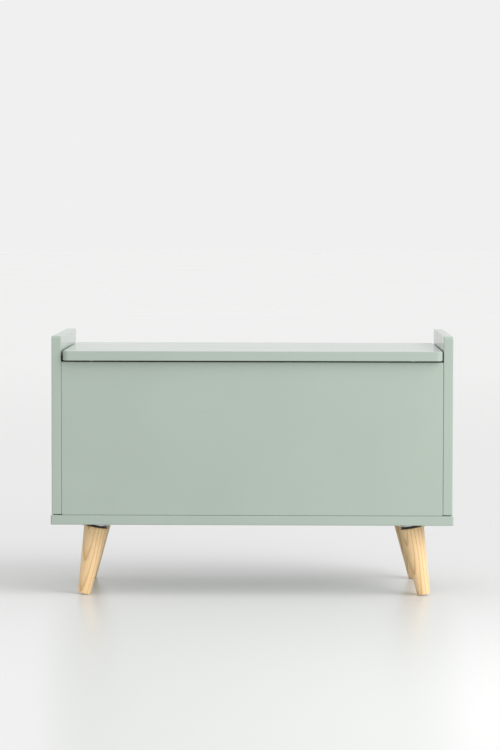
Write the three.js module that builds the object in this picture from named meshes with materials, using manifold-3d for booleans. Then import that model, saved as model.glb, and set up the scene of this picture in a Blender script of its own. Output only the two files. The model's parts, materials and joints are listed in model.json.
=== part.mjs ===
// A painted-board toy box with a lift-up lid, on four splayed round legs.
// Millimetres, +Z up, the box's front faces -Y, origin on the floor under the middle of its outer box.

import * as THREE from 'three';
import { mergeVertices } from 'three/addons/utils/BufferGeometryUtils.js';
import Module from 'manifold-3d';

const wasm = await Module();
wasm.setup();

// ---- Driving dimensions ----

const BOARD = 18; // thickness of every painted board
const WIDTH = 750; // over the outer faces of the side panels
const HEIGHT = 492; // floor to the top edges of the side panels
const FRONT_PLANE = -188; // front edges of the side panels and face of the front panel
const REAR_PLANE = 193.5; // rear edges of the side panels and face of the back panel
const EDGE_RADIUS = 1.6; // eased edges of the boards
const PANEL_EDGE_RADIUS = 1; // and of the front and back panels, which sit flush between them
const ROUNDED_FROM = 8; // corner radii above this get more segments
const AIR = 0.3; // clearance between pieces that touch
const SIDE_SEAT = 1.2; // the side panels stand this far above the base board

const LEG_RISE = 138.3; // floor to the underside of the base board
const BASE_PROUD = 2; // the base board stands out this far on both sides
const BASE_PROUD_FRONT = 0.8; // and at the front

const LID_DROP = 27.5; // top edges of the side panels down to the lid's top face
const LID_NOSE = 12; // the lid's overhang past the front plane
const LID_CORNER = 12; // radius of its front corners
const LID_SIDE_GAP = 2.6; // each side, between lid and side panel
const LID_OFF_CENTRE = 0.6; // the lid hangs this far to the right of the middle
const LID_GAP = 2.6; // under the closed lid, filled by hinge leaves and bumpers

const LEG_TILT = THREE.MathUtils.degToRad(10.4);
const LEG_LENGTH = 129;
const LEG_TOP_RADIUS = 23.25;
const LEG_FOOT_RADIUS = 12.25;
const LEG_FOOT_CHAMFER = 0.75;
const LEG_TOP_X = 298.5; // centre of a leg's top end, from the middle of the box
const LEG_SPACING_Y = 256; // between front and back legs
const LEG_SKEW = 3; // the front pair sits this far to the right of the middle, the back pair to the left

const PLATE_SIZE = 62;
const PLATE_CORNER = 8;
const PLATE_THICK = 2.5;
const PLATE_HOLE_OFFSET = 23; // screw holes from the middle of the plate
const BOSS_RADIUS = 20;
const BOLT_RADIUS = 4;
const BOLT_IN_LEG = 30;
const BOLT_IN_PLATE = 7;

const PLATE_SCREW = { shank: 2, head: 4.2, headHeight: 2.4, length: 16, countersunk: false };
const HINGE_SCREW = { shank: 1.5, head: 3, headHeight: 1.2, length: 13, countersunk: true };

const HINGE_X = 220; // centre of each hinge, from the middle of the box
const HINGE_LENGTH = 60;
const HINGE_AXIS_BEHIND = 3.5; // behind the rear plane
const HINGE_LEAF_WIDTH = 15.5;
const HINGE_LEAF_THICK = 0.85;
const HINGE_SCREW_SPACING = 36;
const KNUCKLE_RADIUS = 3;
const KNUCKLE_COUNT = 5;
const PIN_RADIUS = 1.2;

const STRUT_X = 344; // the plane that each gas strut swings in
const STRUT_BOX_PIVOT = new THREE.Vector2(163, 416.5); // y, z on the side panel
const STRUT_LID_PIVOT = new THREE.Vector2(-185, -16); // y, z from the hinge axis, lid closed
const STRUT_TUBE_RADIUS = 7.5;
const STRUT_TUBE_WALL = 1.2;
const STRUT_TUBE_SHORTFALL = 18; // tube end to the lid pivot, lid closed
const STRUT_ROD_RADIUS = 3;
const STRUT_EYE_RADIUS = 7;
const STRUT_EYE_WIDTH = 7;
const STRUT_PIN_RADIUS = 3;
const STRUT_PISTON_AT = 60; // from the box pivot, lid closed
const BRACKET_THICK = 2;

const BUMPER_RADIUS = 5;
const BUMPER_X = 300;

// Sides of round pieces.
const FINE_ROUND = 32;
const COARSE_ROUND = 16;
const SCREW_ROUND = 10;

// ---- Places worked out from them ----

const INNER_X = WIDTH / 2 - BOARD;
const MIDDLE_Y = (FRONT_PLANE + REAR_PLANE) / 2;
const BASE_TOP = LEG_RISE + BOARD;
const LID_TOP = HEIGHT - LID_DROP;
const LID_UNDERSIDE = LID_TOP - BOARD;
const PANEL_TOP = LID_UNDERSIDE - LID_GAP;
const HINGE_AXIS = new THREE.Vector2(REAR_PLANE + HINGE_AXIS_BEHIND, LID_UNDERSIDE - LID_GAP / 2);
const HINGE_SCREW_Y = REAR_PLANE - BOARD / 2;
const BUMPER_Y = FRONT_PLANE + BOARD / 2;
const LID_PIVOT_CLOSED = HINGE_AXIS.clone().add(STRUT_LID_PIVOT);

// ---- Finishes ----

function finish(color, roughness, metalness) {
    return new THREE.MeshStandardMaterial({ color, roughness, metalness });
}
const sagePaint = () => finish(0xafc1b3, 0.45, 0);
const pine = () => finish(0xe0b47c, 0.5, 0);
const zincSteel = () => finish(0xb9bcc0, 0.35, 1);
const blackSteel = () => finish(0x2b2b2d, 0.4, 0.9);
const brightRod = () => finish(0xd5d8dc, 0.15, 1);
const rubber = () => finish(0xe8e8e4, 0.8, 0);

// ---- Solids ----

function solidOf(geometry) {
    const bare = geometry.index ? geometry.toNonIndexed() : geometry.clone();
    for (const name of Object.keys(bare.attributes)) {
        if (name !== 'position') bare.deleteAttribute(name);
    }
    const merged = mergeVertices(bare, 1e-4);
    return new wasm.Manifold(new wasm.Mesh({
        numProp: 3,
        vertProperties: new Float32Array(merged.attributes.position.array),
        triVerts: new Uint32Array(merged.index.array),
    }));
}

function geometryOf(solid) {
    const { vertProperties, triVerts } = solid.getMesh();
    const geometry = new THREE.BufferGeometry();
    geometry.setAttribute('position', new THREE.BufferAttribute(new Float32Array(vertProperties), 3));
    geometry.setIndex(new THREE.BufferAttribute(new Uint32Array(triVerts), 1));
    return geometry;
}

function join(geometries) {
    return geometryOf(geometries.map(solidOf).reduce((whole, next) => whole.add(next)));
}

function cut(geometry, tools) {
    return geometryOf(tools.map(solidOf).reduce((whole, tool) => whole.subtract(tool), solidOf(geometry)));
}

function common(geometry, other) {
    return geometryOf(solidOf(geometry).intersect(solidOf(other)));
}

function box(low, high) {
    const size = high.map((value, i) => value - low[i]);
    const middle = high.map((value, i) => (value + low[i]) / 2);
    return new THREE.BoxGeometry(...size).translate(...middle);
}

// A rectangle from (u0, v0) to (u1, v1); the radii belong to its corners (u0,v0), (u1,v0), (u1,v1), (u0,v1).
function roundedRectangle(u0, v0, u1, v1, radii) {
    const [a, b, c, d] = radii;
    const shape = new THREE.Shape();
    shape.moveTo(u0 + a, v0);
    shape.lineTo(u1 - b, v0);
    shape.absarc(u1 - b, v0 + b, b, -Math.PI / 2, 0);
    shape.lineTo(u1, v1 - c);
    shape.absarc(u1 - c, v1 - c, c, 0, Math.PI / 2);
    shape.lineTo(u0 + d, v1);
    shape.absarc(u0 + d, v1 - d, d, Math.PI / 2, Math.PI);
    shape.lineTo(u0, v0 + a);
    shape.absarc(u0 + a, v0 + a, a, Math.PI, Math.PI * 1.5);
    return shape;
}

// A board lying in the shape's own plane, with eased edges, its lower face at height 0.
function easedBoard(u0, v0, u1, v1, radii, e = EDGE_RADIUS) {
    const inner = radii.map((radius) => Math.max(radius - e, e / 2));
    const shape = roundedRectangle(u0 + e, v0 + e, u1 - e, v1 - e, inner);
    return new THREE.ExtrudeGeometry(shape, {
        depth: BOARD - 2 * e,
        bevelSize: e,
        bevelThickness: e,
        bevelSegments: 2,
        curveSegments: Math.max(...radii) > ROUNDED_FROM ? 6 : 2,
    }).translate(0, 0, e);
}

// Turns a solid drawn in the plane (u, v) with thickness w into one whose (u, v, w) lie along (y, z, x).
const standSideways = (geometry) => geometry.rotateX(Math.PI / 2).rotateZ(Math.PI / 2);
// The same for (u, v, w) along (x, z, -y): a panel seen from the front.
const standFacingFront = (geometry) => geometry.rotateX(Math.PI / 2);

// A round solid about +Z from a profile of [radius, height] points; it starts and ends on the axis.
function turned(profile, segments) {
    const points = profile.map(([r, h]) => new THREE.Vector2(r, h));
    return new THREE.LatheGeometry(points, segments).rotateX(Math.PI / 2);
}

// A cylinder along +Z from height h0 to h1.
function rod(radius, h0, h1, segments = COARSE_ROUND) {
    return turned([[0, h0], [radius, h0], [radius, h1], [0, h1]], segments);
}

// A cylinder along +X.
const rodAlongX = (radius, x0, x1, segments) => rod(radius, x0, x1, segments).rotateY(Math.PI / 2);

function part(name, geometry, material) {
    const mesh = new THREE.Mesh(geometry, material);
    mesh.name = name;
    return mesh;
}

const SIDES = [['left', -1], ['right', 1]];
const ENDS = [['front', -1], ['back', 1]];

// ---- Screws: the head's outer face at height 0, the shank pointing up +Z ----

function screw({ shank, head, headHeight, length, countersunk }) {
    const rim = countersunk ? head : head * 0.75;
    const shoulder = countersunk ? shank : head;
    const tip = shank * 0.35;
    return turned([
        [0, 0], [rim, 0], [shoulder, headHeight], [shank, headHeight + 0.01],
        [shank, length - 2 * shank], [tip, length], [0, length],
    ], SCREW_ROUND);
}

function screwHole({ shank, headHeight, length }) {
    return rod(shank + AIR, headHeight - 1, length + AIR, SCREW_ROUND);
}

// Where the four screws of a leg's plate go, for the leg on the given side and end.
function plateScrewPlaces(sideSign, endSign) {
    const [cx, cy] = plateCentre(sideSign, endSign);
    const d = PLATE_HOLE_OFFSET;
    return [[-d, -d], [d, -d], [d, d], [-d, d]].map(([dx, dy]) => [cx + dx, cy + dy]);
}

function plateCentre(sideSign, endSign) {
    const rise = LEG_RISE - legTopHeight();
    return [legX(sideSign, endSign, LEG_TOP_X - rise * Math.tan(LEG_TILT)), legY(endSign)];
}

const legX = (sideSign, endSign, reach) => sideSign * reach - endSign * LEG_SKEW;
const legY = (endSign) => MIDDLE_Y + endSign * LEG_SPACING_Y / 2;
// The inner rim of the tilted foot touches the floor.
const footRimDrop = () => (LEG_FOOT_RADIUS - LEG_FOOT_CHAMFER) * Math.sin(LEG_TILT);
const legTopHeight = () => footRimDrop() + LEG_LENGTH * Math.cos(LEG_TILT);

const hingeScrewPlaces = (hingeX) => [-1, 1].map((k) => hingeX + k * HINGE_SCREW_SPACING / 2);

// ---- Carcass boards ----

function baseBoard() {
    const halfWidth = WIDTH / 2 + BASE_PROUD;
    const board = easedBoard(-halfWidth, FRONT_PLANE - BASE_PROUD_FRONT, halfWidth, REAR_PLANE, [3, 3, 2, 2])
        .translate(0, 0, LEG_RISE);
    const holes = [];
    for (const [, side] of SIDES) {
        for (const [, end] of ENDS) {
            for (const [x, y] of plateScrewPlaces(side, end)) {
                holes.push(screwHole(PLATE_SCREW).translate(x, y, plateScrewHeadZ()));
            }
        }
    }
    return part('base_board', cut(board, holes), sagePaint());
}

function sidePanel(name, sign) {
    const board = easedBoard(FRONT_PLANE, BASE_TOP + SIDE_SEAT, REAR_PLANE, HEIGHT, [2, 2, 5, 5]);
    const outerFace = sign > 0 ? INNER_X : -WIDTH / 2;
    return part(`${name}_side_panel`, standSideways(board).translate(outerFace, 0, 0), sagePaint());
}

function panelBetweenSides(rearFace) {
    const halfWidth = INNER_X - AIR;
    const corners = Array(4).fill(2 * PANEL_EDGE_RADIUS);
    const board = easedBoard(-halfWidth, BASE_TOP + AIR, halfWidth, PANEL_TOP, corners, PANEL_EDGE_RADIUS);
    return standFacingFront(board).translate(0, rearFace, 0);
}

function frontPanel() {
    return part('front_panel', panelBetweenSides(FRONT_PLANE + BOARD), sagePaint());
}

function backPanel() {
    const holes = SIDES.flatMap(([, side]) => hingeScrewPlaces(side * HINGE_X)).map((x) => (
        screwHole(HINGE_SCREW).rotateX(Math.PI).translate(x, HINGE_SCREW_Y, boxLeafTop())
    ));
    return part('back_panel', cut(panelBetweenSides(REAR_PLANE), holes), sagePaint());
}

// ---- Lid ----

function lid() {
    const halfWidth = INNER_X - LID_SIDE_GAP;
    const front = FRONT_PLANE - LID_NOSE;
    const board = easedBoard(-halfWidth, front, halfWidth, REAR_PLANE, [LID_CORNER, LID_CORNER, 3, 3])
        .translate(LID_OFF_CENTRE, 0, LID_UNDERSIDE);
    const holes = SIDES.flatMap(([, side]) => hingeScrewPlaces(side * HINGE_X)).map((x) => (
        screwHole(HINGE_SCREW).translate(x, HINGE_SCREW_Y, lidLeafUnderside())
    ));
    return part('lid', cut(board, holes), sagePaint());
}

// A domed rubber button stuck under the lid, over the front panel's top edge.
function bumper(name, sign) {
    const height = LID_GAP - 2 * AIR;
    const profile = [
        [0, 0], [BUMPER_RADIUS * 0.55, 0], [BUMPER_RADIUS * 0.85, height * 0.3],
        [BUMPER_RADIUS, height * 0.7], [BUMPER_RADIUS, height], [0, height],
    ];
    const dome = turned(profile, COARSE_ROUND).translate(sign * BUMPER_X, BUMPER_Y, PANEL_TOP + AIR);
    return part(`${name}_lid_bumper`, dome, rubber());
}

// ---- Legs ----

const plateUnderside = () => LEG_RISE - AIR - PLATE_THICK;
const plateScrewHeadZ = () => plateUnderside() - AIR - PLATE_SCREW.headHeight;

// Places a solid drawn about +Z, its height 0 at the leg's top end, onto the tilted leg axis.
function onLegAxis(geometry, side, end) {
    const x = legX(side, end, LEG_TOP_X);
    return geometry.rotateY(-side * LEG_TILT).translate(x, legY(end), legTopHeight());
}

function leg(name, side, end) {
    const rounding = 1.5;
    const cone = turned([
        [0, -LEG_LENGTH], [LEG_FOOT_RADIUS - LEG_FOOT_CHAMFER, -LEG_LENGTH],
        [LEG_FOOT_RADIUS, -LEG_LENGTH + LEG_FOOT_CHAMFER],
        [LEG_TOP_RADIUS, -rounding], [LEG_TOP_RADIUS - rounding, 0], [0, 0],
    ], FINE_ROUND);
    const bore = rod(BOLT_RADIUS + AIR, -BOLT_IN_LEG - AIR, 1);
    return part(`leg_${name}`, onLegAxis(cut(cone, [bore]), side, end), pine());
}

function legPlate(name, side, end) {
    const half = PLATE_SIZE / 2;
    const [cx, cy] = plateCentre(side, end);
    const flange = new THREE.ExtrudeGeometry(
        roundedRectangle(-half, -half, half, half, Array(4).fill(PLATE_CORNER)),
        { depth: PLATE_THICK, bevelEnabled: false, curveSegments: 4 },
    ).translate(cx, cy, plateUnderside());
    const boss = common(
        onLegAxis(rod(BOSS_RADIUS, AIR, BOSS_RADIUS * 2), side, end),
        box([-WIDTH, -WIDTH, 0], [WIDTH, WIDTH, LEG_RISE - AIR]),
    );
    const bores = plateScrewPlaces(side, end).map(([x, y]) => (
        rod(PLATE_SCREW.shank + AIR, 0, LEG_RISE, SCREW_ROUND).translate(x, y, 0)
    ));
    const thread = onLegAxis(rod(BOLT_RADIUS + AIR, -1, BOSS_RADIUS * 2), side, end);
    return part(`leg_plate_${name}`, cut(join([flange, boss]), [...bores, thread]), zincSteel());
}

function hangerBolt(name, side, end) {
    const chamfer = 0.8;
    const bolt = turned([
        [0, -BOLT_IN_LEG], [BOLT_RADIUS * 0.4, -BOLT_IN_LEG], [BOLT_RADIUS, -BOLT_IN_LEG + BOLT_RADIUS * 2],
        [BOLT_RADIUS, BOLT_IN_PLATE - chamfer], [BOLT_RADIUS - chamfer, BOLT_IN_PLATE], [0, BOLT_IN_PLATE],
    ], COARSE_ROUND);
    return part(`hanger_bolt_${name}`, onLegAxis(bolt, side, end), zincSteel());
}

function plateScrews(name, side, end) {
    return plateScrewPlaces(side, end).map(([x, y], i) => {
        const piece = screw(PLATE_SCREW).translate(x, y, plateScrewHeadZ());
        return part(`plate_screw_${name}_${i + 1}`, piece, zincSteel());
    });
}

function legSet(side, end, sideName, endName) {
    const name = `${endName}_${sideName}`;
    return [leg(name, side, end), legPlate(name, side, end), hangerBolt(name, side, end),
        ...plateScrews(name, side, end)];
}

// ---- Hinges ----

const boxLeafTop = () => PANEL_TOP + AIR + HINGE_LEAF_THICK;
const lidLeafUnderside = () => LID_UNDERSIDE - AIR - HINGE_LEAF_THICK;

// Start and end of knuckle i along X, from the middle of the hinge.
function knuckleSpan(i) {
    const pitch = HINGE_LENGTH / KNUCKLE_COUNT;
    const start = -HINGE_LENGTH / 2 + i * pitch;
    return [start + AIR / 2, start + pitch - AIR / 2];
}

// A leaf holds every other knuckle, starting with the first for the box leaf and the second for the lid leaf.
function hingeLeaf(name, hingeX, firstKnuckle, lowZ) {
    const highZ = lowZ + HINGE_LEAF_THICK;
    const [axisY, axisZ] = HINGE_AXIS.toArray();
    const plateEnd = axisY - KNUCKLE_RADIUS - AIR;
    const half = HINGE_LENGTH / 2;
    const solids = [box([-half, plateEnd - HINGE_LEAF_WIDTH, lowZ], [half, plateEnd, highZ])];
    for (let i = firstKnuckle; i < KNUCKLE_COUNT; i += 2) {
        const [x0, x1] = knuckleSpan(i);
        solids.push(rodAlongX(KNUCKLE_RADIUS, x0, x1).translate(0, axisY, axisZ));
        solids.push(box([x0, plateEnd - 1, lowZ], [x1, axisY - PIN_RADIUS, highZ]));
    }
    const bore = rodAlongX(PIN_RADIUS + AIR, -half - 1, half + 1, SCREW_ROUND).translate(0, axisY, axisZ);
    const screwsGoUp = firstKnuckle === 1;
    const seats = hingeScrewPlaces(0).map((x) => (
        countersink(screwsGoUp).translate(x, HINGE_SCREW_Y, screwsGoUp ? lowZ : highZ)
    ));
    return part(name, cut(join(solids), [bore, ...seats]).translate(hingeX, 0, 0), zincSteel());
}

// The conical seat of a countersunk screw whose head's outer face is at height 0.
function countersink(goesUp) {
    const { head, shank, headHeight } = HINGE_SCREW;
    const seat = turned([
        [0, -1], [head + AIR, -1], [head + AIR, 0], [shank + AIR, headHeight],
        [shank + AIR, headHeight + 1], [0, headHeight + 1],
    ], SCREW_ROUND);
    return goesUp ? seat : seat.rotateX(Math.PI);
}

function hingePin(name, hingeX) {
    const half = HINGE_LENGTH / 2;
    const pin = rodAlongX(PIN_RADIUS, -half, half, SCREW_ROUND);
    return part(name, pin.translate(hingeX, ...HINGE_AXIS.toArray()), zincSteel());
}

function hingeScrews(name, hingeX, goesUp, headZ) {
    return hingeScrewPlaces(hingeX).map((x, i) => {
        const piece = screw(HINGE_SCREW);
        if (!goesUp) piece.rotateX(Math.PI);
        return part(`${name}_${i + 1}`, piece.translate(x, HINGE_SCREW_Y, headZ), zincSteel());
    });
}

function hingeSet(name, side) {
    const hingeX = side * HINGE_X;
    return [
        hingeLeaf(`hinge_box_leaf_${name}`, hingeX, 0, PANEL_TOP + AIR),
        hingeLeaf(`hinge_lid_leaf_${name}`, hingeX, 1, lidLeafUnderside()),
        hingePin(`hinge_pin_${name}`, hingeX),
        ...hingeScrews(`box_hinge_screw_${name}`, hingeX, false, boxLeafTop()),
        ...hingeScrews(`lid_hinge_screw_${name}`, hingeX, true, lidLeafUnderside()),
    ];
}

// ---- Gas struts, drawn along +Z from the box pivot, with the swing plane at x = 0 and the panel at +X ----

const strutClosed = LID_PIVOT_CLOSED.distanceTo(STRUT_BOX_PIVOT);

// Turns a strut drawn along +Z to its closed direction, and moves it to its side of the box.
function placeStrut(geometry, side) {
    const direction = LID_PIVOT_CLOSED.clone().sub(STRUT_BOX_PIVOT);
    const lean = Math.atan2(direction.x, direction.y);
    if (side < 0) geometry.rotateZ(Math.PI);
    return geometry.rotateX(-lean).translate(side * STRUT_X, ...STRUT_BOX_PIVOT.toArray());
}

function strutTube(name, side) {
    const inner = STRUT_TUBE_RADIUS - STRUT_TUBE_WALL;
    const throat = STRUT_ROD_RADIUS + 2 * AIR;
    const end = strutClosed - STRUT_TUBE_SHORTFALL;
    const bottom = STRUT_EYE_RADIUS + 3;
    const chamfer = 1.5;
    const cap = 4;
    const outside = turned([
        [0, bottom], [STRUT_TUBE_RADIUS - chamfer, bottom], [STRUT_TUBE_RADIUS, bottom + chamfer],
        [STRUT_TUBE_RADIUS, end - chamfer], [STRUT_TUBE_RADIUS - chamfer, end], [0, end],
    ], COARSE_ROUND);
    const hollow = turned([
        [0, bottom + cap], [inner, bottom + cap], [inner, end - cap],
        [throat, end - cap], [throat, end + 1], [0, end + 1],
    ], COARSE_ROUND);
    const neck = rod(STRUT_EYE_WIDTH * 0.45, 0, bottom + 1);
    const eye = rodAlongX(STRUT_EYE_RADIUS, -STRUT_EYE_WIDTH / 2, STRUT_EYE_WIDTH / 2);
    const eyeHole = rodAlongX(STRUT_PIN_RADIUS + AIR, -STRUT_EYE_WIDTH, STRUT_EYE_WIDTH);
    const tube = cut(join([outside, neck, eye]), [hollow, eyeHole]);
    return part(`strut_tube_${name}`, placeStrut(tube, side), blackSteel());
}

function strutRod(name, side) {
    const pistonRadius = STRUT_TUBE_RADIUS - STRUT_TUBE_WALL - AIR;
    const pistonEnd = STRUT_PISTON_AT + 6;
    const shaft = turned([
        [0, STRUT_PISTON_AT], [pistonRadius, STRUT_PISTON_AT], [pistonRadius, pistonEnd],
        [STRUT_ROD_RADIUS, pistonEnd], [STRUT_ROD_RADIUS, strutClosed], [0, strutClosed],
    ], COARSE_ROUND);
    const head = rodAlongX(STRUT_EYE_RADIUS, -STRUT_EYE_WIDTH / 2, STRUT_EYE_WIDTH / 2);
    const pin = rodAlongX(STRUT_PIN_RADIUS, -STRUT_EYE_WIDTH / 2 - BRACKET_THICK * 2, 0);
    const fitting = join([head, pin]).translate(0, 0, strutClosed);
    return part(`strut_rod_${name}`, placeStrut(join([shaft, fitting]), side), brightRod());
}

// A plate on the side panel with a headed stud that the tube's eye turns on.
function strutBoxBracket(name, side) {
    const toPanel = INNER_X - STRUT_X - AIR;
    const plateRadius = 11;
    const studEnd = -STRUT_EYE_WIDTH / 2 - AIR;
    const solids = [
        rodAlongX(plateRadius, toPanel - BRACKET_THICK, toPanel),
        rodAlongX(STRUT_PIN_RADIUS, studEnd - 0.5, toPanel),
        rodAlongX(STRUT_PIN_RADIUS + 1.5, studEnd - 1.5, studEnd),
    ];
    return part(`strut_box_bracket_${name}`, placeStrut(join(solids), side), zincSteel());
}

// An angle under the lid: a screwed flange, and a tab beside the rod's end.
function strutLidBracket(name, side) {
    const [pivotY, pivotZ] = LID_PIVOT_CLOSED.toArray();
    const tabOuter = STRUT_X - STRUT_EYE_WIDTH / 2 - BRACKET_THICK * 2 - AIR;
    const tabInner = tabOuter - BRACKET_THICK;
    const top = LID_UNDERSIDE - AIR;
    const tabHalf = 9;
    const flangeHalf = 17;
    const flangeReach = 24;
    const tabBottom = rodAlongX(tabHalf, tabInner, tabOuter).translate(0, pivotY, pivotZ);
    const tab = box([tabInner, pivotY - tabHalf, pivotZ], [tabOuter, pivotY + tabHalf, top]);
    const flange = box([tabOuter - flangeReach, pivotY - flangeHalf, top - BRACKET_THICK],
        [tabOuter, pivotY + flangeHalf, top]);
    const angle = join([flange, tab, tabBottom]);
    const placed = side > 0 ? angle : geometryOf(solidOf(angle).mirror([1, 0, 0]));
    return part(`strut_lid_bracket_${name}`, placed, zincSteel());
}

function strutSet(name, side) {
    const builders = [strutTube, strutRod, strutBoxBracket, strutLidBracket];
    return builders.map((build) => build(name, side));
}

// ---- Assembly ----

const carcass = new THREE.Group();
carcass.add(baseBoard(), frontPanel(), backPanel());
const lidGroup = new THREE.Group();
lidGroup.add(lid());
const undercarriage = new THREE.Group();
const hardware = new THREE.Group();

for (const [sideName, side] of SIDES) {
    carcass.add(sidePanel(sideName, side));
    lidGroup.add(bumper(sideName, side));
    hardware.add(...hingeSet(sideName, side), ...strutSet(sideName, side));
    for (const [endName, end] of ENDS) {
        undercarriage.add(...legSet(side, end, sideName, endName));
    }
}

const toyBox = new THREE.Group();
toyBox.add(carcass, lidGroup, undercarriage, hardware);

export default toyBox;
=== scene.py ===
"""Looks of a painted toy box with a lift-up lid, on four turned pine legs.

Lengths are in metres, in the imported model's frame.
"""

import json
import math

import bmesh
import bpy
from mathutils import Matrix, Quaternion, Vector


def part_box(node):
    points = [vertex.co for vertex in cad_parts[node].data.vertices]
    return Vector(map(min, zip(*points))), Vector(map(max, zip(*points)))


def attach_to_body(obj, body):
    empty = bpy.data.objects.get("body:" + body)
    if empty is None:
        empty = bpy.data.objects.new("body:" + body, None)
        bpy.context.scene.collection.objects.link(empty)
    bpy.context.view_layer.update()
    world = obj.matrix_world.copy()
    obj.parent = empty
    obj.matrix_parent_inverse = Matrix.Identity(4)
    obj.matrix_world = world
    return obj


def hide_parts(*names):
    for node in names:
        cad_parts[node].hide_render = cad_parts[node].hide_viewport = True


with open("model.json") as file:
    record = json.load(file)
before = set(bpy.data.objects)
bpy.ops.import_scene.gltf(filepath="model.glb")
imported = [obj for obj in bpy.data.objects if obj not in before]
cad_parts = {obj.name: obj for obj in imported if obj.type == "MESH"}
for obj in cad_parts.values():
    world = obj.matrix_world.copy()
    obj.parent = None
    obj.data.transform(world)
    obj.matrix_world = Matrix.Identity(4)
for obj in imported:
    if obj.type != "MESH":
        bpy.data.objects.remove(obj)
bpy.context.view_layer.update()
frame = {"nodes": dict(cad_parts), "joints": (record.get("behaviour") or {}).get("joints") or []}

MM = 0.001
SIDES = {"left": -1, "right": 1}
ENDS = ("front", "back")
AXES = {"x": 0, "y": 1, "z": 2}

# Sizes that the boxes of the nodes don't give. AIR is the gap between pieces that touch.
AIR = 0.3 * MM
BOARD_EDGE = 1.6 * MM
PANEL_EDGE = 1.0 * MM
BOARD_CORNER = 3 * MM
SIDE_CORNER = 5 * MM
SIDE_FOOT_CORNER = 2 * MM
LID_CORNER = 12 * MM
LEG_TILT = math.radians(10.4)
LEG_LENGTH = 129 * MM
LEG_TOP_RADIUS = 23.25 * MM
LEG_FOOT_RADIUS = 12.25 * MM
LEG_ROUNDING = 1.5 * MM
PLATE_THICK = 2.5 * MM
PLATE_CORNER = 8 * MM
# The black disc at each leg's top is a spacer and also painted shade for the gap there.
SHADE_DISC_RADIUS = 20 * MM
SHADE_DISC_HEIGHT = 3.8 * MM
KNUCKLES = 5
KNUCKLE_GAP = 0.3 * MM
LEAF_THICK = 0.85 * MM
LEAF_OFF_AXIS = 0.15 * MM
TAB_RADIUS = 9 * MM
BRACKET_THICK = 2 * MM
STRUT_EYE_RADIUS = 7 * MM
STRUT_EYE_WIDTH = 7 * MM
STRUT_PIN_RADIUS = 3 * MM
STRUT_ROD_RADIUS = 3 * MM
STRUT_TUBE_RADIUS = 7.5 * MM
STRUT_TUBE_BORE = 6.3 * MM
STRUT_TUBE_SHORTFALL = 18 * MM
STRUT_PISTON_AT = 60 * MM


# ---- Mesh tools ----

def object_from(name, bm, place=Matrix.Identity(4), smooth=True):
    """A scene object from a bmesh drawn in its own frame, moved to its place, with outward faces."""
    bmesh.ops.recalc_face_normals(bm, faces=bm.faces)
    bm.transform(place)
    mesh = bpy.data.meshes.new(name)
    bm.to_mesh(mesh)
    bm.free()
    for polygon in mesh.polygons:
        polygon.use_smooth = smooth
    made = bpy.data.objects.new(name, mesh)
    bpy.context.scene.collection.objects.link(made)
    return made


def circle(bm, radius, height, segments):
    """Vertices in a circle about Z, or a single one on the axis."""
    if radius == 0:
        return [bm.verts.new((0, 0, height))]
    turns = [2 * math.pi * i / segments for i in range(segments)]
    return [bm.verts.new((radius * math.cos(t), radius * math.sin(t), height)) for t in turns]


def revolve(bm, profile, segments=64):
    """Adds the closed round solid of a profile of (radius, height) points about Z."""
    rings = [circle(bm, radius, height, segments) for radius, height in profile]
    for lower, upper in zip(rings, rings[1:]):
        for i in range(segments):
            j = (i + 1) % segments
            corners = [lower[i % len(lower)], lower[j % len(lower)]]
            corners += [upper[j % len(upper)], upper[i % len(upper)]]
            unique = list(dict.fromkeys(corners))
            if len(unique) > 2:
                bm.faces.new(unique)


def add_tube(bm, inner, outer, low, high, bevel, segments, turn):
    """Adds a tube about Z with slightly broken outer edges, then turns it by a matrix."""
    section = [
        (inner, low), (outer - bevel, low), (outer, low + bevel),
        (outer, high - bevel), (outer - bevel, high), (inner, high),
    ]
    rings = [circle(bm, radius, height, segments) for radius, height in section]
    for k, ring in enumerate(rings):
        following = rings[(k + 1) % len(rings)]
        for i in range(segments):
            j = (i + 1) % segments
            bm.faces.new((ring[i], ring[j], following[j], following[i]))
    fresh = [v for ring in rings for v in ring]
    bmesh.ops.transform(bm, matrix=turn, verts=fresh)


def add_box(bm, low, high):
    """Adds a box between two corners and gives its vertices."""
    middle = (Vector(low) + Vector(high)) / 2
    size = Vector(high) - Vector(low)
    scale = Matrix.Diagonal((*size, 1))
    return bmesh.ops.create_cube(bm, size=1, matrix=Matrix.Translation(middle) @ scale)["verts"]


def arc(centre, radius, start, end, steps=6):
    """Points (radius, height) of a profile's rounded corner, from angle start to end in degrees."""
    points = []
    for i in range(steps + 1):
        angle = math.radians(start + (end - start) * i / steps)
        points.append((centre[0] + radius * math.cos(angle), centre[1] + radius * math.sin(angle)))
    return points


def bevelled(bm, edges, offset, segments=3):
    """Rounds some edges."""
    bmesh.ops.bevel(bm, geom=list(edges), offset=offset, segments=segments, profile=0.5,
                    affect="EDGES", clamp_overlap=True)
    bm.normal_update()


def edges_along(bm, axis):
    """The edges that run along one of the axes 0, 1, 2."""
    found = []
    for edge in bm.edges:
        run = (edge.verts[1].co - edge.verts[0].co).normalized()
        if abs(run[axis]) > 0.99:
            found.append(edge)
    return found


def flat_rims(bm, axis):
    """The edges between the two broad faces across an axis and the narrow faces round them."""
    def rim(edge):
        broad = [abs(face.normal[axis]) > 0.99 for face in edge.link_faces]
        return len(broad) == 2 and broad[0] != broad[1]
    return [edge for edge in bm.edges if rim(edge)]


def flat_normals(piece):
    """Keeps broad faces flat in the shading while their rounded edges stay smooth."""
    modifier = piece.modifiers.new("weighted_normals", "WEIGHTED_NORMAL")
    modifier.weight = 100
    modifier.keep_sharp = True


def smooth_by_angle(piece, degrees=35):
    piece.data.set_sharp_from_angle(angle=math.radians(degrees))


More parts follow.
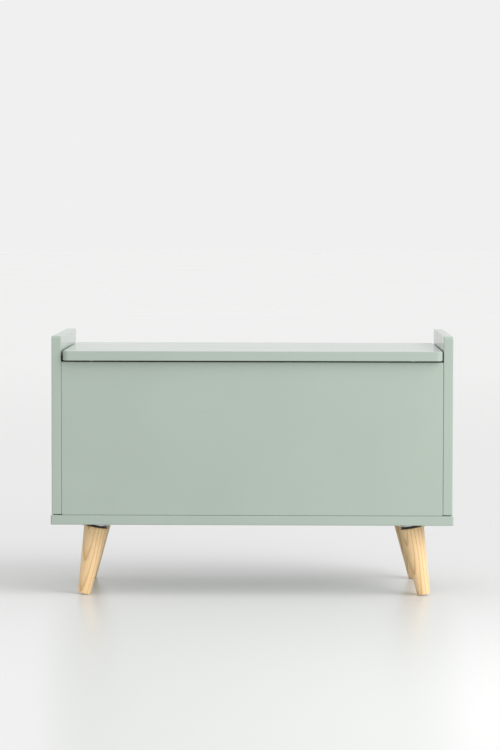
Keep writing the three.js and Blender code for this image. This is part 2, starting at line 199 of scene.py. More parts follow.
def boolean_cut(piece, cutter):
    """Cuts one mesh with another and removes the cutter."""
    modifier = piece.modifiers.new("cut", "BOOLEAN")
    modifier.operation = "DIFFERENCE"
    modifier.solver = "EXACT"
    modifier.object = cutter
    depsgraph = bpy.context.evaluated_depsgraph_get()
    mesh = bpy.data.meshes.new_from_object(piece.evaluated_get(depsgraph))
    piece.modifiers.clear()
    piece.data = mesh
    bpy.data.objects.remove(cutter)


def attach(piece, body, materials, nodes=()):
    """Gives a piece its finish and its body, and hides the CAD nodes that it stands for."""
    piece.data.materials.clear()
    for material in materials:
        piece.data.materials.append(material)
    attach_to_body(piece, body)
    if nodes:
        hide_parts(*nodes)


def refinish(node, material):
    """Gives a CAD node, kept as it is, a better material."""
    node.data.materials.clear()
    node.data.materials.append(material)


# ---- Material tools ----

class Finish:
    """A material's node tree, built by short calls."""

    def __init__(self, name):
        self.material = bpy.data.materials.new(name)
        self.material.use_nodes = True
        self.nodes = self.material.node_tree.nodes
        self.links = self.material.node_tree.links
        self.shader = self.nodes["Principled BSDF"]
        self.place = self.nodes.new("ShaderNodeTexCoord").outputs["Object"]

    def fill(self, socket, value):
        """Links an output to a socket, or sets the socket to a plain value."""
        if hasattr(value, "is_output"):
            self.links.new(value, socket)
        else:
            socket.default_value = value

    def node(self, kind, inputs, **settings):
        made = self.nodes.new("ShaderNode" + kind)
        for key, value in settings.items():
            setattr(made, key, value)
        for key, value in inputs.items():
            self.fill(made.inputs[key], value)
        return made

    def mapped(self, vector, **inputs):
        """A vector scaled, turned and shifted."""
        return self.node("Mapping", {"Vector": vector, **inputs}).outputs["Vector"]

    def noise(self, scale, detail=2.0, roughness=0.5, at=None):
        inputs = {"Vector": at or self.place, "Scale": scale, "Detail": detail, "Roughness": roughness}
        return self.node("TexNoise", inputs).outputs["Fac"]

    def remap(self, value, low, high, start=0.0, end=1.0, **settings):
        inputs = {"Value": value, "From Min": start, "From Max": end, "To Min": low, "To Max": high}
        return self.node("MapRange", inputs, **settings).outputs["Result"]

    def mix(self, factor, first, second):
        """A mix of two colours. Its colour sockets are 6 and 7, and the colour comes out at 2."""
        return self.node("Mix", {0: factor, 6: first, 7: second}, data_type="RGBA").outputs[2]

    def maths(self, operation, first, second):
        return self.node("Math", {0: first, 1: second}, operation=operation).outputs[0]

    def bump(self, height, strength, distance, below=None):
        inputs = {"Height": height, "Strength": strength, "Distance": distance}
        if below is not None:
            inputs["Normal"] = below
        return self.node("Bump", inputs).outputs["Normal"]

    def set(self, **values):
        """Sets the shader's own sockets; underscores in a name stand for spaces."""
        for key, value in values.items():
            self.fill(self.shader.inputs[key.replace("_", " ")], value)
        return self


def tone(color, factor):
    """A colour made darker or lighter."""
    return (*(min(1.0, c * factor) for c in color), 1.0)


# ---- Finishes ----

SAGE = (0.347, 0.408, 0.357)
SAGE_EDGE = (0.350, 0.449, 0.384)
PINE_PALE = (0.87, 0.615, 0.335, 1)
PINE_WARM = (0.80, 0.53, 0.25, 1)
PINE_LATE = (0.50, 0.27, 0.08, 1)
PINE_PORE = (0.36, 0.17, 0.05, 1)
FLOOR_DULL = (0.655, 0.66, 0.655, 1)
FLOOR_CLEAR = (0.685, 0.687, 0.681, 1)
# The far floor's tone is painted light, paler than the floor near the object.
FLOOR_FAR_PAINTED_LIGHT = (0.762, 0.762, 0.757, 1)


def sage_paint(name, color, cut_edge):
    """Satin paint on board, with a sprayed orange-peel skin. It is rougher where it covers a cut edge."""
    f = Finish(name)
    drift = f.noise(5.0)
    speck = f.noise(900.0)
    base = f.mix(f.remap(drift, 0, 1, 0.3, 0.7), tone(color, 0.98), tone(color, 1.02))
    fleck = tone(color, 0.86 if cut_edge else 0.94)
    flecked = f.mix(f.remap(speck, 0, 0.5, 0.62, 0.75), base, fleck)
    skin = f.bump(f.noise(420.0), 0.05, 0.1 * MM)
    if cut_edge:
        fibres = f.noise(260.0, 5.0, 0.7)
        skin = f.bump(fibres, 0.12, 0.2 * MM, skin)
    skin = f.bump(f.noise(1700.0, 3.0, 0.6), 0.03, 0.05 * MM, skin)
    smoothest = 0.20 if cut_edge else 0.14
    rough = f.remap(drift, smoothest, smoothest + 0.04, 0.3, 0.7)
    return f.set(Base_Color=flecked, Roughness=rough, Normal=skin).material


def pine(name, number, place):
    """Clear-varnished pine, its grain along the Z of the piece's own place. Each number is another cut."""
    f = Finish(name)
    inverse = place.inverted()
    own = f.mapped(f.place, Rotation=inverse.to_euler(), Location=inverse.translation)
    lean = (math.radians(4 + number), math.radians(3 - 2 * number), 0)
    pith = (0.030 + 0.008 * number, 0.042 - 0.013 * number, 0.07 * number)
    trunk = f.mapped(own, Rotation=lean, Location=pith)
    along = f.mapped(trunk, Scale=(1.0, 1.0, 0.22))
    wave = {"Vector": along, "Scale": 44.0, "Distortion": 3.4, "Detail": 2.0, "Detail Scale": 0.55}
    rings = f.node("TexWave", wave, wave_type="RINGS", rings_direction="Z", wave_profile="SAW")
    late = f.remap(rings.outputs["Fac"], 0.0, 1.0, 0.58, 1.0, interpolation_type="SMOOTHERSTEP")
    sway = f.noise(14.0, at=along)
    wood = f.mix(f.remap(sway, 0, 1, 0.38, 0.64), PINE_PALE, PINE_WARM)
    wood = f.mix(f.maths("MULTIPLY", late, 0.58), wood, PINE_LATE)
    fibres = f.noise(700.0, 4.0, 0.6, f.mapped(trunk, Scale=(1.0, 1.0, 0.03)))
    wood = f.mix(f.remap(fibres, 0, 0.26, 0.5, 0.75), wood, PINE_LATE)
    pores = f.noise(2300.0, 2.0, 0.6, f.mapped(trunk, Scale=(1.0, 1.0, 0.07)))
    wood = f.mix(f.remap(pores, 0, 0.22, 0.66, 0.8), wood, PINE_PORE)
    grain = f.bump(fibres, 0.2, 0.12 * MM, f.bump(late, 0.1, 0.15 * MM))
    f.set(Base_Color=wood, Roughness=f.remap(fibres, 0.34, 0.48), Normal=grain)
    return f.set(Coat_Weight=0.35, Coat_Roughness=0.2).material


def plated_steel(name, color, rough, grain):
    """Plated steel: a fine drawn grain, cloudy roughness and small scuffs."""
    f = Finish(name)
    cloud = f.noise(160.0, 4.0, 0.6)
    drawn = f.noise(1600.0, 3.0, 0.6, f.mapped(f.place, Scale=grain))
    scuff = f.remap(f.noise(700.0, 6.0, 0.8), 0, 1, 0.63, 0.7)
    tint = f.mix(f.remap(cloud, 0, 1, 0.35, 0.65), tone(color, 0.9), tone(color, 1.06))
    tint = f.mix(f.maths("MULTIPLY", scuff, 0.5), tint, tone(color, 0.6))
    wear = f.maths("ADD", f.maths("MULTIPLY", cloud, 0.6), f.maths("MULTIPLY", drawn, 0.4))
    roughness = f.remap(wear, rough * 0.75, rough * 1.3, 0.3, 0.7)
    skin = f.bump(drawn, 0.12, 0.05 * MM)
    return f.set(Base_Color=tint, Roughness=roughness, Metallic=1.0, Normal=skin).material


def powder_coat(name):
    """Black powder coat: fine pebbled skin."""
    f = Finish(name)
    pebble = f.noise(1500.0)
    dust = f.remap(f.noise(60.0, 4.0), 0, 1, 0.4, 0.8)
    color = f.mix(dust, (0.016, 0.016, 0.017, 1), (0.032, 0.032, 0.033, 1))
    skin = f.bump(pebble, 0.2, 0.1 * MM)
    return f.set(Base_Color=color, Roughness=f.remap(pebble, 0.34, 0.5), Normal=skin).material


def soft_rubber(name):
    """Milky soft plastic of a stick-on bumper."""
    f = Finish(name)
    haze = f.noise(300.0, 3.0)
    color = f.mix(haze, (0.62, 0.62, 0.60, 1), (0.78, 0.78, 0.76, 1))
    skin = f.bump(haze, 0.1, 0.1 * MM)
    f.set(Base_Color=color, Roughness=f.remap(haze, 0.35, 0.5), Normal=skin)
    return f.set(Subsurface_Weight=0.2).material


def floor_finish(name):
    """Pale sealed floor with a soft sheen and slight clouding. It is painted paler away from the object:
    painted light that fades the far floor into the white surround.
    """
    f = Finish(name)
    cloud = f.noise(0.5, 2.0, 0.4)
    distance = f.node("VectorMath", {0: f.place}, operation="LENGTH").outputs["Value"]
    near = f.mix(cloud, FLOOR_DULL, FLOOR_CLEAR)
    # Painted light: the floor's colour turns paler with distance from the object, out to 8 metres.
    color = f.mix(f.remap(distance, 0, 1, 0.8, 8.0), near, FLOOR_FAR_PAINTED_LIGHT)
    return f.set(Base_Color=color, Roughness=f.remap(cloud, 0.27, 0.33, 0.3, 0.7)).material


PAINT = [sage_paint("sage_face", SAGE, False), sage_paint("sage_edge", SAGE_EDGE, True)]
ZINC = plated_steel("zinc_plate", (0.70, 0.71, 0.72), 0.30, (1.0, 0.15, 1.0))
PRESSED_ZINC = plated_steel("pressed_zinc", (0.62, 0.63, 0.64), 0.38, (1.0, 0.3, 1.0))
CHROME = plated_steel("polished_rod", (0.86, 0.87, 0.88), 0.09, (1.0, 1.0, 0.1))
POWDER_COAT = powder_coat("black_powder_coat")
RUBBER = soft_rubber("bumper_rubber")


# ---- Boards ----

def corner_edges(bm, axis, middle, signs):
    """The edges along an axis that lie on one corner, given by its signs on the other two axes."""
    across = [i for i in range(3) if i != axis]
    found = []
    for edge in edges_along(bm, axis):
        at = (edge.verts[0].co + edge.verts[1].co) / 2 - middle
        if all(at[i] * sign > 0 for i, sign in zip(across, signs)):
            found.append(edge)
    return found


def board(node, body, thickness_axis, edge, corner_radii):
    """A painted board the size of its node. corner_radii gives each corner's radius from its two signs."""
    low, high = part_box(node)
    axis = AXES[thickness_axis]
    bm = bmesh.new()
    add_box(bm, low, high)
    for signs, radius in corner_radii.items():
        segments = 8 if radius > 2 * BOARD_CORNER else 3
        bevelled(bm, corner_edges(bm, axis, (low + high) / 2, signs), radius, segments)
    bevelled(bm, flat_rims(bm, axis), edge, 4)
    for face in bm.faces:
        face.material_index = 0 if abs(face.normal[axis]) > 0.99 else 1
    made = object_from(node + "_painted", bm)
    flat_normals(made)
    attach(made, body, PAINT, [node])


def corners(lower, upper):
    """Corner radii of a board, at the low and the high end of the second of its two long axes."""
    return {(-1, -1): lower, (1, -1): lower, (-1, 1): upper, (1, 1): upper}


def build_boards():
    board("base_board", "carcass", "z", BOARD_EDGE, corners(BOARD_CORNER, BOARD_CORNER))
    for panel in ("front_panel", "back_panel"):
        board(panel, "carcass", "y", PANEL_EDGE, corners(2 * PANEL_EDGE, 2 * PANEL_EDGE))
    for side in SIDES:
        board(side + "_side_panel", "carcass", "x", BOARD_EDGE, corners(SIDE_FOOT_CORNER, SIDE_CORNER))
    board("lid", "lid", "z", BOARD_EDGE, corners(LID_CORNER, BOARD_CORNER))


# ---- Legs ----

def leg_place(node, sign):
    """The matrix of a leg's own frame: origin at the middle of its top end, Z up along its axis."""
    low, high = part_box(node)
    inner_x = low.x if sign > 0 else high.x
    top_x = inner_x + sign * (LEG_TOP_RADIUS * math.cos(LEG_TILT) - LEG_ROUNDING * math.sin(LEG_TILT))
    top_z = high.z - (LEG_TOP_RADIUS - LEG_ROUNDING) * math.sin(LEG_TILT)
    place = Matrix.Translation((top_x, (low.y + high.y) / 2, top_z))
    return place @ Matrix.Rotation(-sign * LEG_TILT, 4, "Y")


def turned_leg(node, place, number):
    """A tapered round leg with broken edges at both ends."""
    foot_edge = 0.75 * MM
    steps = 12
    foot = -LEG_LENGTH
    profile = [(0, foot), (LEG_FOOT_RADIUS * 0.6, foot)]
    profile += arc((LEG_FOOT_RADIUS - foot_edge, foot + foot_edge), foot_edge, -90, 5, 5)
    for i in range(1, steps):
        share = i / steps
        radius = LEG_FOOT_RADIUS + (LEG_TOP_RADIUS - LEG_FOOT_RADIUS) * share
        profile.append((radius, foot + foot_edge + (LEG_LENGTH - foot_edge - LEG_ROUNDING) * share))
    profile += arc((LEG_TOP_RADIUS - LEG_ROUNDING, -LEG_ROUNDING), LEG_ROUNDING, 5, 90, 5)
    profile += [(LEG_TOP_RADIUS * 0.5, 0), (0, 0)]
    bm = bmesh.new()
    revolve(bm, profile, 96)
    made = object_from(node + "_turned", bm, place)
    smooth_by_angle(made, 50)
    attach(made, "carcass", [pine(f"pine_{number}", number, place)], [node])


def leg_plate(node, place):
    """A pressed steel plate under the base board, with the tilted boss that the leg's bolt screws into."""
    low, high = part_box(node)
    bm = bmesh.new()
    add_box(bm, (low.x, low.y, high.z - PLATE_THICK), high)
    bevelled(bm, edges_along(bm, 2), PLATE_CORNER, 8)
    bevelled(bm, flat_rims(bm, 2), 0.6 * MM)
    flange = set(bm.verts)
    bottom = AIR + SHADE_DISC_HEIGHT
    boss_radius = SHADE_DISC_RADIUS - 1 * MM
    plate_middle = high.z - PLATE_THICK / 2
    rise = (plate_middle - place.translation.z) / math.cos(LEG_TILT)
    top = rise + SHADE_DISC_RADIUS * math.tan(LEG_TILT)
    revolve(bm, [(0, bottom), (boss_radius, bottom), (boss_radius, top), (0, top)])
    boss = [v for v in bm.verts if v not in flange]
    bmesh.ops.transform(bm, matrix=place, verts=boss)
    for v in boss:
        v.co.z = min(v.co.z, plate_middle)
    made = object_from(node + "_pressed", bm)
    smooth_by_angle(made)
    attach(made, "carcass", [PRESSED_ZINC], [node])


def leg_spacer_and_shade_disc(name, place):
    """A thin black disc between the leg's end and the plate's boss: a black spacer that is also painted shade
    for the dark gap at the leg's top.
    """
    edge = 0.6 * MM
    top = AIR + SHADE_DISC_HEIGHT
    profile = [(0, AIR)] + arc((SHADE_DISC_RADIUS - edge, AIR + edge), edge, -90, 0, 3)
    profile += arc((SHADE_DISC_RADIUS - edge, top - edge), edge, 0, 90, 3) + [(0, top)]
    bm = bmesh.new()
    revolve(bm, profile)
    made = object_from(name, bm, place)
    smooth_by_angle(made)
    attach(made, "carcass", [POWDER_COAT])


def build_legs():
    number = 0
    for end in ENDS:
        for side, sign in SIDES.items():
            name = f"{end}_{side}"
            place = leg_place("leg_" + name, sign)
            turned_leg("leg_" + name, place, number)
            leg_plate("leg_plate_" + name, place)
            leg_spacer_and_shade_disc("leg_spacer_and_shade_disc_" + name, place)
            refinish(frame["nodes"]["hanger_bolt_" + name], ZINC)
            number += 1


# ---- Screws ----

def cross_recess(half_length, half_width, depth):
    """The cutter for a tapering cross recess in a head whose outer face is at height 0."""
    taper = 0.55
    bm = bmesh.new()
    for x, y in ((half_length, half_width), (half_width, half_length)):
        for v in add_box(bm, (-x, -y, -depth), (x, y, depth)):
            if v.co.z < 0:
                v.co.x *= taper
                v.co.y *= taper
    return object_from("recess_cutter", bm, smooth=False)


def screw_mesh(name, profile, recess):
    """The mesh of a screw, drawn with its head up, cut with its driver recess."""
    bm = bmesh.new()
    revolve(bm, profile, 40)
    made = object_from(name, bm)
    boolean_cut(made, recess)
    smooth_by_angle(made)
    mesh = made.data
    bpy.data.objects.remove(made)
    return mesh


def threaded(shank, length, pitch, head_depth):
    """Profile points of a wood screw's thread, from under the head down to the tip."""
    core = shank * 0.72
    points = []
    for i in range(int((length - 2 * shank) / pitch)):
        top = -head_depth - pitch * i
        points += [(core, top - pitch * 0.15), (shank, top - pitch * 0.5), (core, top - pitch * 0.85)]
    tip = -head_depth - length
    return points + [(shank * 0.35, tip + shank * 0.6), (0, tip)]


def pan_screw():
    """A pan-head wood screw with its head's outer face at height 0."""
    head, rise = 4.2 * MM, 2.4 * MM
    profile = [(0, 0), (head * 0.45, -0.08 * MM), (head * 0.75, -0.35 * MM), (head * 0.93, -0.95 * MM)]
    profile += [(head, -1.6 * MM), (head, -rise + 0.15 * MM), (head - 0.15 * MM, -rise)]
    profile += [(1.6 * MM, -rise)] + threaded(2 * MM, 13.5 * MM, 1.4 * MM, rise)
    return screw_mesh("pan_screw", profile, cross_recess(2.1 * MM, 0.45 * MM, 1.3 * MM))


def flat_screw():
    """A countersunk wood screw with its head's outer face at height 0."""
    head, rise = 3.0 * MM, 1.2 * MM
    neck = rise + 0.2 * MM
    profile = [(0, 0), (head - 0.1 * MM, 0), (head, -0.1 * MM), (1.6 * MM, -rise), (1.3 * MM, -neck)]
    profile += threaded(1.5 * MM, 11.5 * MM, 1.1 * MM, neck)
    return screw_mesh("flat_screw", profile, cross_recess(1.6 * MM, 0.33 * MM, 0.75 * MM))


def place_fitting(name, mesh, at, turn, body, nodes=()):
    """A copy of a screw or cam. at is the middle of its head's outer face, which faces +Z before the turn."""
    made = bpy.data.objects.new(name, mesh.copy())
    made.matrix_world = Matrix.Translation(at) @ turn
    bpy.context.scene.collection.objects.link(made)
    attach(made, body, [ZINC], nodes)


def head_up(spin):
    return Matrix.Rotation(spin, 4, "Z")


def head_down(spin):
    return Matrix.Rotation(math.pi, 4, "X") @ Matrix.Rotation(spin, 4, "Z")


def build_screws(pan, flat):
    """The screws of the CAD model, each turned to another angle."""
    spin = 0.4
    for node in sorted(frame["nodes"]):
        spin += 0.83
        low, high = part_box(node)
        middle = (low + high) / 2
        under = Vector((middle.x, middle.y, low.z))
        over = Vector((middle.x, middle.y, high.z))
        if node.startswith("plate_screw_"):
            place_fitting(node + "_detailed", pan, under, head_down(spin), "carcass", [node])
        elif node.startswith("box_hinge_screw_"):
            place_fitting(node + "_detailed", flat, over, head_up(spin), "carcass", [node])
        elif node.startswith("lid_hinge_screw_"):
            place_fitting(node + "_detailed", flat, under, head_down(spin), "lid", [node])


# ---- Assembly fittings of the carcass ----

def hex_socket_screw():
    """The head of an assembly screw, flush in the board, with a hexagon socket."""
    head, depth = 5 * MM, 4 * MM
    socket, socket_depth = 2.3 * MM, 2.5 * MM
    bm = bmesh.new()
    revolve(bm, [(0, -socket_depth), (socket, -socket_depth), (socket, 1 * MM), (0, 1 * MM)], 6)
    cutter = object_from("socket_cutter", bm, smooth=False)
    profile = [(0, 0), (head - 0.3 * MM, 0), (head, -0.3 * MM), (head * 0.7, -depth), (0, -depth)]
    return screw_mesh("assembly_screw", profile, cutter)


def cam_mesh(rise):
    """The face of a cam fitting, with its cross slot, a hair proud of the board."""
    radius, depth = 7.4 * MM, 3 * MM
    profile = [(0, 0), (radius - 1.2 * MM, 0), (radius - 0.9 * MM, -0.15 * MM)]
    profile += [(radius - 0.2 * MM, -0.1 * MM), (radius, -rise), (radius, -depth), (0, -depth)]
    return screw_mesh("cam", profile, cross_recess(4.4 * MM, 0.8 * MM, 1.6 * MM))


def assembly_screws(mesh):
    """Screws from below, through the base board into the panels that stand on it."""
    base_low, base_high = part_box("base_board")
    size = base_high - base_low
    places = []
    for side in SIDES:
        low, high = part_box(side + "_side_panel")
        x = (low.x + high.x) / 2
        places += [(x, base_low.y + size.y * share) for share in (0.12, 0.5, 0.88)]
    for panel in ("front_panel", "back_panel"):
        low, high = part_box(panel)
        y = (low.y + high.y) / 2
        places += [(base_low.x + size.x * share, y) for share in (0.34, 0.66)]
    proud = 0.05 * MM
    for i, (x, y) in enumerate(places):
        at = (x, y, base_low.z - proud)
        place_fitting(f"assembly_screw_{i + 1}", mesh, at, head_down(0.9 * i), "carcass")


def cam_fittings():
    """Cams on the inner faces of the front and back panels, near the side panels."""
    reach = 34 * MM
    rise = 0.35 * MM
    mesh = cam_mesh(rise)
    for panel, facing in (("front_panel", 1), ("back_panel", -1)):
        low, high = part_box(panel)
        face_y = high.y if facing > 0 else low.y
        for side, sign in SIDES.items():
            edge_x = high.x if sign > 0 else low.x
            for level, share in (("low", 0.2), ("high", 0.76)):
                z = low.z + (high.z - low.z) * share
                at = (edge_x - sign * reach, face_y + facing * rise, z)
                turn = Matrix.Rotation(-facing * math.pi / 2, 4, "X") @ Matrix.Rotation(0.3 + share, 4, "Z")
                place_fitting(f"cam_{panel}_{side}_{level}", mesh, at, turn, "carcass")


# ---- Hinges ----

ALONG_X = Matrix.Rotation(math.pi / 2, 4, "Y")


def hinge_leaf(node, body, pin_low, pin_high, axis_at):
    """A stamped leaf with its rolled knuckles. The box leaf lies under the axis, with the outer knuckles."""
    low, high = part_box(node)
    over = body == "lid"
    leaf_low = axis_at.z + LEAF_OFF_AXIS if over else axis_at.z - LEAF_OFF_AXIS - LEAF_THICK
    leaf_high = leaf_low + LEAF_THICK
    radius = high.y - axis_at.y
    leaf_end = axis_at.y - radius - KNUCKLE_GAP
    bm = bmesh.new()
    add_box(bm, (low.x, low.y, leaf_low), (high.x, leaf_end, leaf_high))
    bevelled(bm, edges_along(bm, 2), 1.2 * MM, 4)
    bevelled(bm, flat_rims(bm, 2), 0.2 * MM, 2)
    pitch = (pin_high.x - pin_low.x) / KNUCKLES
    pin_radius = (pin_high.z - pin_low.z) / 2
    turn = Matrix.Translation((0, axis_at.y, axis_at.z)) @ ALONG_X
    inset = 0.05 * MM
    for i in range(1 if over else 0, KNUCKLES, 2):
        start = pin_low.x + i * pitch + KNUCKLE_GAP / 2
        end = start + pitch - KNUCKLE_GAP
        add_tube(bm, pin_radius + 0.25 * MM, radius, start, end, 0.25 * MM, 40, turn)
        add_box(bm, (start, leaf_end - 0.5 * MM, leaf_low + inset),
                (end, axis_at.y - pin_radius - 0.8 * MM, leaf_high - inset))
    made = object_from(node + "_stamped", bm)
    smooth_by_angle(made)
    attach(made, body, [ZINC], [node])


def hinge_pin(node, low, high, axis_at):
    """A hinge pin with domed ends."""
    radius = (high.z - low.z) / 2
    half = (high.x - low.x) / 2
    dome = 0.5 * MM
    profile = [(0, -half), (radius * 0.6, -half + dome * 0.2), (radius, -half + dome)]
    profile += [(radius, half - dome), (radius * 0.6, half - dome * 0.2), (0, half)]
    bm = bmesh.new()
    revolve(bm, profile, 32)
    made = object_from(node + "_domed", bm, Matrix.Translation(axis_at) @ ALONG_X)
    smooth_by_angle(made)
    attach(made, "carcass", [ZINC], [node])


def build_hinges():
    joint = next(j for j in frame["joints"] if j["name"] == "lid_hinge")
    for side in SIDES:
        pin_low, pin_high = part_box("hinge_pin_" + side)
        axis_at = Vector(((pin_low.x + pin_high.x) / 2, joint["pos_m"][1], joint["pos_m"][2]))
        hinge_leaf("hinge_box_leaf_" + side, "carcass", pin_low, pin_high, axis_at)
        hinge_leaf("hinge_lid_leaf_" + side, "lid", pin_low, pin_high, axis_at)
        hinge_pin("hinge_pin_" + side, pin_low, pin_high, axis_at)


# ---- Gas struts ----

def strut_place(side):
    """The strut's own frame, Z from its box pivot to its lid pivot, X as the world's; its closed length."""
    swing = next(j for j in frame["joints"] if j["name"] == "strut_swing_" + side)
    low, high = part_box("strut_lid_bracket_" + side)
    start = Vector(swing["pos_m"])
    end = Vector((start.x, (low.y + high.y) / 2, low.z + TAB_RADIUS))
    along = (end - start).normalized()
    across = Vector((1, 0, 0))
    up = along.cross(across)
    turn = Matrix((across, up, along)).transposed().to_4x4()
    return Matrix.Translation(start) @ turn, (end - start).length


def strut_piece(name, bm, place, body, material, nodes=()):
    """One round piece of a strut, with its shading and finish."""
    made = object_from(name, bm, place)
    smooth_by_angle(made)
    attach(made, body, [material], nodes)


def add_eye(bm, hole, at):
    """Adds the eye at a strut's end, at a height along the strut."""
    half = STRUT_EYE_WIDTH / 2
    turn = Matrix.Translation((0, 0, at)) @ ALONG_X
    add_tube(bm, hole, STRUT_EYE_RADIUS, -half, half, 0.5 * MM, 48, turn)


def strut_tube(side, place, closed):
    """The hollow cylinder, with a crimped end and a rod guide."""
    radius = STRUT_TUBE_RADIUS
    bore = STRUT_TUBE_BORE
    throat = STRUT_ROD_RADIUS + 2 * AIR
    cap = 4 * MM
    crimp = 0.5 * MM
    bottom = STRUT_EYE_RADIUS + 3 * MM
    end = closed - STRUT_TUBE_SHORTFALL
    profile = [(0, bottom + 0.4 * MM), (3.1 * MM, bottom + 0.4 * MM), (5.2 * MM, bottom)]
    profile += arc((radius - 1.6 * MM, bottom + 1.6 * MM), 1.6 * MM, -80, 0, 5)
    profile += [(radius, end - 9 * MM), (radius - crimp, end - 8 * MM)]
    profile += [(radius - crimp, end - 7 * MM), (radius, end - 6 * MM)]
    profile += arc((radius - 1.4 * MM, end - 1.4 * MM), 1.4 * MM, 0, 80, 5)
    profile += [(5.4 * MM, end - 0.1 * MM), (5.0 * MM, end - 1.0 * MM)]
    profile += [(throat + 0.2 * MM, end - 0.9 * MM), (throat, end - 1.6 * MM), (throat, end - cap)]
    profile += [(bore, end - cap), (bore, bottom + cap), (0, bottom + cap)]
    bm = bmesh.new()
    revolve(bm, profile)
    node = "strut_tube_" + side
    strut_piece(node + "_coated", bm, place, node, POWDER_COAT, [node])


def strut_tube_eye(side, place):
    """The tube's moulded eye, on a threaded neck."""
    neck, flare = 3.1 * MM, 3.4 * MM
    bm = bmesh.new()
    add_eye(bm, STRUT_PIN_RADIUS + 0.15 * MM, 0)
    revolve(bm, [(0, 5.5 * MM), (neck, 5.5 * MM), (neck, 8.4 * MM), (flare, 8.8 * MM),
                 (flare, 10.3 * MM), (0, 10.3 * MM)], 32)
    node = "strut_tube_" + side
    strut_piece(node + "_eye", bm, place, node, POWDER_COAT)


def strut_rod(side, place, closed):
    """The polished rod with its piston."""
    piston_radius, chamfer = 6 * MM, 0.4 * MM
    low, high = STRUT_PISTON_AT, STRUT_PISTON_AT + 6 * MM
    rod_end = closed - 12 * MM
    profile = [(0, low), (piston_radius - chamfer, low), (piston_radius, low + chamfer)]
    profile += [(piston_radius, high - chamfer), (piston_radius - chamfer, high)]
    profile += [(STRUT_ROD_RADIUS, high), (STRUT_ROD_RADIUS, rod_end), (0, rod_end)]
    bm = bmesh.new()
    revolve(bm, profile, 48)
    node = "strut_rod_" + side
    strut_piece(node + "_polished", bm, place, node, CHROME, [node])


def strut_rod_eye(side, place, closed):
    """The end fitting of the rod."""
    neck, sleeve = 3.3 * MM, 3.6 * MM
    low, high = closed - 13 * MM, closed - 5 * MM
    bm = bmesh.new()
    revolve(bm, [(0, low), (neck, low), (sleeve, low + 0.4 * MM), (sleeve, high), (0, high)], 32)
    add_eye(bm, STRUT_PIN_RADIUS - 0.1 * MM, closed)
    node = "strut_rod_" + side
    strut_piece(node + "_eye", bm, place, node, POWDER_COAT)


def strut_rod_pin(side, sign, place, closed):
    """The pin through the rod's eye, which reaches to the bracket on the lid."""
    outer = STRUT_EYE_WIDTH / 2 + 0.6 * MM
    inner = STRUT_EYE_WIDTH / 2 + 2 * BRACKET_THICK
    dome, chamfer = 0.8 * MM, 0.4 * MM
    profile = [(0, -inner), (STRUT_PIN_RADIUS - chamfer, -inner), (STRUT_PIN_RADIUS, -inner + chamfer)]
    profile += [(STRUT_PIN_RADIUS, outer - dome)]
    profile += arc((STRUT_PIN_RADIUS - dome, outer - dome), dome, 0, 90, 4) + [(0, outer)]
    bm = bmesh.new()
    revolve(bm, profile, 32)
    across = Matrix.Translation((0, 0, closed)) @ Matrix.Rotation(sign * math.pi / 2, 4, "Y")
    node = "strut_rod_" + side
    strut_piece(node + "_pin", bm, place @ across, node, ZINC)


def box_bracket(side, sign, pivot):
    """A round plate on the side panel with a headed stud, drawn from the stud's head at the low end."""
    node = "strut_box_bracket_" + side
    low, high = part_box(node)
    outer = (high.x - pivot.x) if sign > 0 else (pivot.x - low.x)
    head = (pivot.x - low.x) if sign > 0 else (high.x - pivot.x)
    head_radius, shoulder_radius, plate_radius = 4.4 * MM, 4.5 * MM, 11 * MM
    half = STRUT_EYE_WIDTH / 2
    edge = 0.5 * MM
    plate_face = outer - BRACKET_THICK
    profile = [(0, -head)] + arc((head_radius - 1 * MM, -head + 1 * MM), 1 * MM, -90, 0, 4)
    profile += [(head_radius, -head + 1.5 * MM), (STRUT_PIN_RADIUS, -head + 1.5 * MM)]
    profile += [(STRUT_PIN_RADIUS, half + 0.5 * MM), (shoulder_radius, half + 0.7 * MM)]
    profile += [(shoulder_radius, plate_face - 0.2 * MM), (5 * MM, plate_face)]
    profile += arc((plate_radius - edge, plate_face + edge), edge, -90, 0, 3)
    profile += [(plate_radius, outer), (0, outer)]
    bm = bmesh.new()
    revolve(bm, profile)
    place = Matrix.Translation(pivot) @ Matrix.Rotation(sign * math.pi / 2, 4, "Y")
    strut_piece(node + "_turned", bm, place, "carcass", ZINC, [node])


def box_bracket_screws(side, sign, mesh):
    """Two screws through the round plate into the side panel, above and below the stud."""
    low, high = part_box("strut_box_bracket_" + side)
    middle = (low + high) / 2
    head_height = BRACKET_THICK + 0.5 * MM
    face_x = (high.x - head_height) if sign > 0 else (low.x + head_height)
    for i, offset in enumerate((-7.4 * MM, 7.4 * MM)):
        turn = Matrix.Rotation(-sign * math.pi / 2, 4, "Y") @ Matrix.Rotation(0.7 * i, 4, "Z")
        at = (face_x, middle.y, middle.z + offset)
        place_fitting(f"box_bracket_screw_{side}_{i + 1}", mesh, at, turn, "carcass")


def lid_bracket(side):
    """The angle under the lid, keeping its own solid with broken edges."""
    piece = frame["nodes"]["strut_lid_bracket_" + side]
    refinish(piece, ZINC)
    bevel = piece.modifiers.new("broken_edges", "BEVEL")
    bevel.width = 0.3 * MM
    bevel.segments = 2
    bevel.limit_method = "ANGLE"
    bevel.angle_limit = math.radians(40)


def lid_bracket_screws(side, sign, mesh):
    """Two screws through the angle's flange into the lid."""
    low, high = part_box("strut_lid_bracket_" + side)
    inset = 10 * MM
    head_height = BRACKET_THICK + 0.9 * MM
    x = (low.x + inset) if sign > 0 else (high.x - inset)
    middle = (low.y + high.y) / 2
    for i, offset in enumerate((-11 * MM, 11 * MM)):
        at = (x, middle + offset, high.z - head_height)
        place_fitting(f"lid_bracket_screw_{side}_{i + 1}", mesh, at, head_down(0.5 + i), "lid")


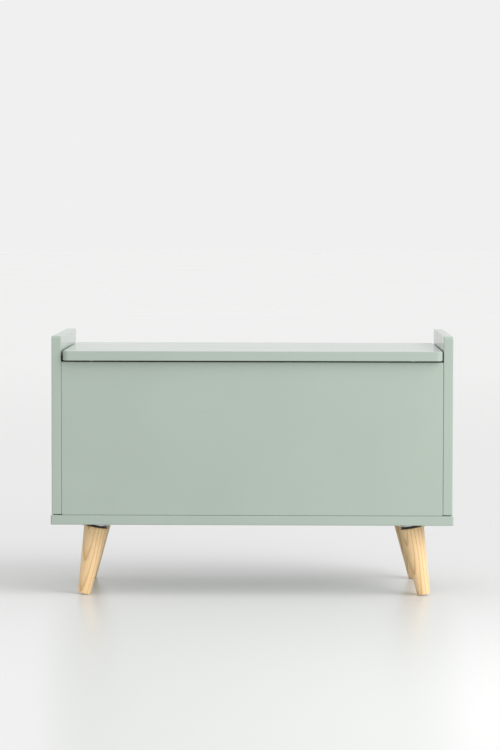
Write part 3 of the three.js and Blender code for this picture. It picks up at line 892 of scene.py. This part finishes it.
def build_struts(flat):
    for side, sign in SIDES.items():
        place, closed = strut_place(side)
        strut_tube(side, place, closed)
        strut_tube_eye(side, place)
        strut_rod(side, place, closed)
        strut_rod_eye(side, place, closed)
        strut_rod_pin(side, sign, place, closed)
        box_bracket(side, sign, place.translation)
        lid_bracket(side)
        lid_bracket_screws(side, sign, flat)
        box_bracket_screws(side, sign, flat)


# ---- Lid bumpers ----

def build_bumpers():
    """Domed stick-on bumpers, each about its own middle; the dome faces down."""
    outline = ((0, 0), (0.35, 0.03), (0.65, 0.14), (0.88, 0.4), (0.98, 0.72), (1, 1), (0, 1))
    for side in SIDES:
        node = side + "_lid_bumper"
        low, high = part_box(node)
        radius = (high.x - low.x) / 2
        height = high.z - low.z
        bm = bmesh.new()
        revolve(bm, [(radius * across, height * up) for across, up in outline], 48)
        middle = (low + high) / 2
        made = object_from(node + "_domed", bm, Matrix.Translation((middle.x, middle.y, low.z)))
        smooth_by_angle(made, 50)
        attach(made, "lid", [RUBBER], [node])


# ---- Studio ----

WORLD_LIGHT = 0.87
SUN_FROM = (2.6, -1.5, 2.8)
SUN_STRENGTH = 1.4
SUN_SPREAD = math.radians(35)
KEY_FROM = (1.4, -1.7, 0.9)
KEY_SIZE = (1.0, 1.2)
KEY_WATTS = 18
LIGHT_TARGET = Vector((0, 0, 0.3))
CAMERA_PLACE = Vector((0.0701, -5.6032, 0.7115))
CAMERA_AIM = Vector((-0.0066, 0.0, 0.4098))
CAMERA_ROLL = math.radians(0.1)
LENS_MM = 139.5


def build_floor():
    bm = bmesh.new()
    bmesh.ops.create_grid(bm, x_segments=8, y_segments=8, size=60)
    floor = object_from("floor", bm, smooth=False)
    floor.data.materials.append(floor_finish("pale_floor"))


def aim_light(light, place):
    """Puts a light at a place, turned towards the object and unseen by the camera."""
    lamp = bpy.data.objects.new(light.name, light)
    lamp.location = place
    lamp.rotation_mode = "QUATERNION"
    lamp.rotation_quaternion = (LIGHT_TARGET - Vector(place)).to_track_quat("-Z", "Y")
    lamp.visible_camera = False
    bpy.context.scene.collection.objects.link(lamp)
    return lamp


def build_light():
    """A white surround, a wide soft sun from the right, and a low panel that the paint doesn't mirror."""
    world = bpy.data.worlds.new("studio")
    bpy.context.scene.world = world
    world.use_nodes = True
    background = world.node_tree.nodes["Background"]
    background.inputs["Color"].default_value = (1.0, 1.0, 1.0, 1)
    background.inputs["Strength"].default_value = WORLD_LIGHT
    sun = bpy.data.lights.new("soft_sun", "SUN")
    sun.energy = SUN_STRENGTH
    sun.angle = SUN_SPREAD
    aim_light(sun, SUN_FROM)
    key = bpy.data.lights.new("key_panel", "AREA")
    key.shape = "RECTANGLE"
    key.size, key.size_y = KEY_SIZE
    key.energy = KEY_WATTS
    aim_light(key, KEY_FROM).visible_glossy = False


def build_camera():
    data = bpy.data.cameras.new("camera")
    data.lens = LENS_MM
    camera = bpy.data.objects.new("camera", data)
    camera.location = CAMERA_PLACE
    camera.rotation_mode = "QUATERNION"
    aim = (CAMERA_AIM - CAMERA_PLACE).to_track_quat("-Z", "Y")
    camera.rotation_quaternion = aim @ Quaternion((0, 0, 1), CAMERA_ROLL)
    bpy.context.scene.collection.objects.link(camera)
    bpy.context.scene.camera = camera


# ---- Everything ----

build_camera()
build_boards()
build_legs()
pan_head = pan_screw()
flat_head = flat_screw()
build_screws(pan_head, flat_head)
assembly_screws(hex_socket_screw())
cam_fittings()
build_hinges()
build_struts(flat_head)
build_bumpers()
build_floor()
build_light()
bpy.context.scene.view_settings.view_transform = "Standard"
